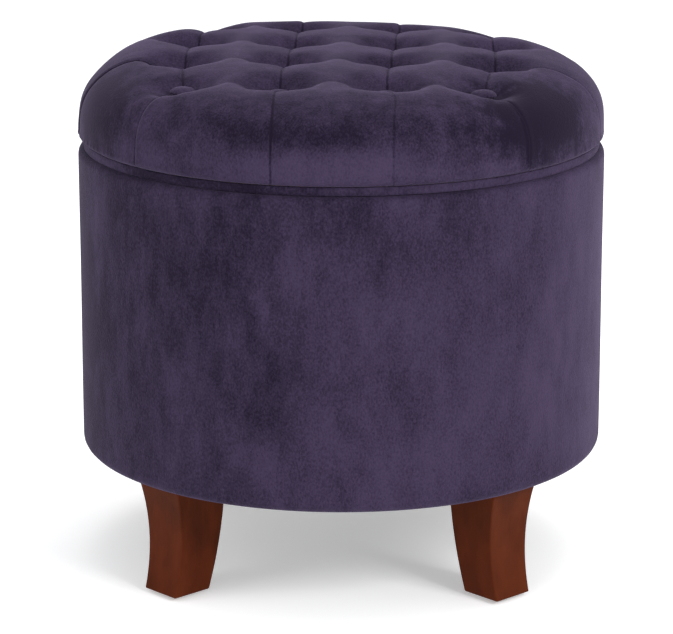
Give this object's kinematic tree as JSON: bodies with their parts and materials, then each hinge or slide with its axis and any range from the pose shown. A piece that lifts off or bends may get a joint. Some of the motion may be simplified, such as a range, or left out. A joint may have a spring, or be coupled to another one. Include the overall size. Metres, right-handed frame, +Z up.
{
  "type": "storage ottoman",
  "caption": "Round velvet storage drum on curved wooden legs, closed by a thick button-tufted cushion lid that lifts straight off.",
  "frame": {"origin": "on the floor, under the middle of the drum", "axes": "+Z up, along the line that the lid lifts; -Y is the front; the legs stand on the diagonals between X and Y"},
  "size_m": [0.4826, 0.4826, 0.4745],
  "materials": {
    "velvet": "deep purple velvet, brighter at grazing angles",
    "foam": "matt open-cell foam",
    "plywood": "raw plywood",
    "hardboard": "raw hardboard",
    "pine": "raw pine",
    "stained_wood": "satin red-brown stain",
    "zinc_steel": "zinc plated",
    "nylon": "matt",
    "lining": "black non-woven cloth",
    "twine": "waxed twine"
  },
  "bodies": {
    "drum": {"bottom_board": "plywood", "top_hoop": "plywood", "drum_shell": "hardboard", "drum_foam": "foam", "drum_cover": "velvet", "inner_liner": "lining", "liner_floor": "lining", "dust_cover": "lining", "upright_1": "pine", "upright_2": "pine", "upright_3": "pine", "upright_4": "pine", "upright_5": "pine", "upright_6": "pine", "leg_1": "stained_wood", "leg_bolt_1": "zinc_steel", "t_nut_1": "zinc_steel", "glide_1": "nylon", "leg_2": "stained_wood", "leg_bolt_2": "zinc_steel", "t_nut_2": "zinc_steel", "glide_2": "nylon", "leg_3": "stained_wood", "leg_bolt_3": "zinc_steel", "t_nut_3": "zinc_steel", "glide_3": "nylon", "leg_4": "stained_wood", "leg_bolt_4": "zinc_steel", "t_nut_4": "zinc_steel", "glide_4": "nylon"},
    "lid": {"lid_board": "plywood", "lid_plug": "plywood", "lid_foam": "foam", "lid_cover": "velvet", "lid_edge_band": "velvet", "lid_lining": "lining", "tufting_twine": "twine", "lid_screw_1": "zinc_steel", "lid_screw_2": "zinc_steel", "lid_screw_3": "zinc_steel", "lid_screw_4": "zinc_steel", "tuft_button_01": "velvet", "tuft_button_02": "velvet", "tuft_button_03": "velvet", "tuft_button_04": "velvet", "tuft_button_05": "velvet", "tuft_button_06": "velvet", "tuft_button_07": "velvet", "tuft_button_08": "velvet", "tuft_button_09": "velvet", "tuft_button_10": "velvet", "tuft_button_11": "velvet", "tuft_button_12": "velvet", "tuft_button_13": "velvet", "tuft_button_14": "velvet", "tuft_button_15": "velvet", "tuft_button_16": "velvet"}
  },
  "joints": [
    {"name": "lid_lift", "type": "slide", "parent": "drum", "child": "lid", "axis": [0, 0, 1], "range_m": [0, 0.28]}
  ]
}
